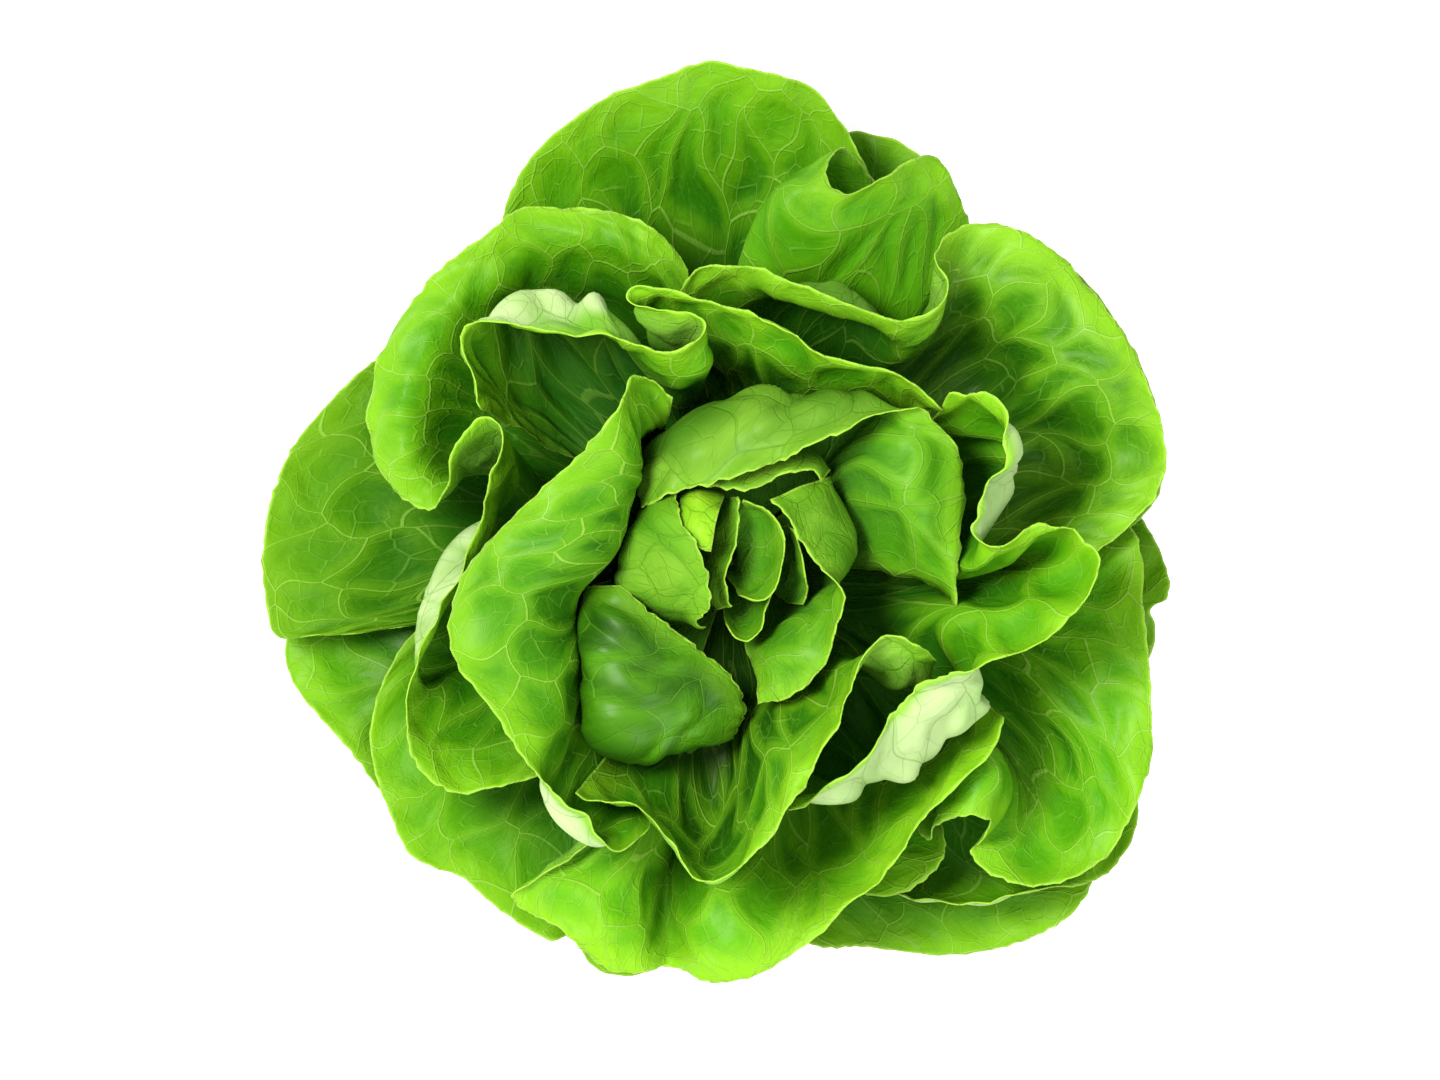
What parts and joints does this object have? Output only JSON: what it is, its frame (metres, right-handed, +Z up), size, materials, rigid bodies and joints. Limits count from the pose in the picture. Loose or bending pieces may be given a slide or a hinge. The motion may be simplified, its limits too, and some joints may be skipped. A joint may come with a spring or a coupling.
{
  "type": "lettuce head",
  "caption": "Open butterhead lettuce: a rosette of cupped, waved leaves round a short stem, cut flat below so that it rests on its base",
  "frame": {"origin": "centre of the stem's flat cut face, on the surface that the head rests on", "axes": "+Z up along the stem; +Y is the top of the picture and +X its right"},
  "size_m": [0.2556, 0.258, 0.0959],
  "materials": {
    "outer_leaf": "waxy mid green leaf, blistered, with pale raised veins, semi-gloss",
    "middle_leaf": "waxy bright green leaf, blistered, with pale veins, semi-gloss",
    "inner_leaf": "yellow-green leaf with a paler, matter underside",
    "heart_leaf": "pale yellow-green young leaf, soft sheen",
    "stem": "pale cut stem, slightly moist, browning at the cut"
  },
  "bodies": {
    "root": {"stem": "stem", "outer_leaf_01": "outer_leaf", "outer_leaf_02": "outer_leaf", "outer_leaf_03": "outer_leaf", "outer_leaf_04": "outer_leaf", "outer_leaf_05": "outer_leaf", "outer_leaf_06": "outer_leaf", "outer_leaf_07": "outer_leaf", "outer_leaf_08": "outer_leaf", "outer_leaf_09": "outer_leaf", "outer_leaf_10": "outer_leaf", "middle_leaf_01": "middle_leaf", "middle_leaf_02": "middle_leaf", "middle_leaf_03": "middle_leaf", "middle_leaf_04": "middle_leaf", "middle_leaf_05": "middle_leaf", "middle_leaf_06": "middle_leaf", "inner_leaf_01": "inner_leaf", "inner_leaf_02": "inner_leaf", "inner_leaf_03": "inner_leaf", "inner_leaf_04": "inner_leaf", "heart_leaf_01": "heart_leaf", "heart_leaf_02": "heart_leaf", "heart_leaf_03": "heart_leaf", "heart_leaf_04": "heart_leaf", "heart_leaf_05": "heart_leaf", "heart_leaf_06": "heart_leaf", "heart_leaf_07": "heart_leaf", "heart_leaf_08": "heart_leaf", "heart_leaf_09": "heart_leaf", "heart_leaf_10": "heart_leaf"}
  },
  "joints": []
}
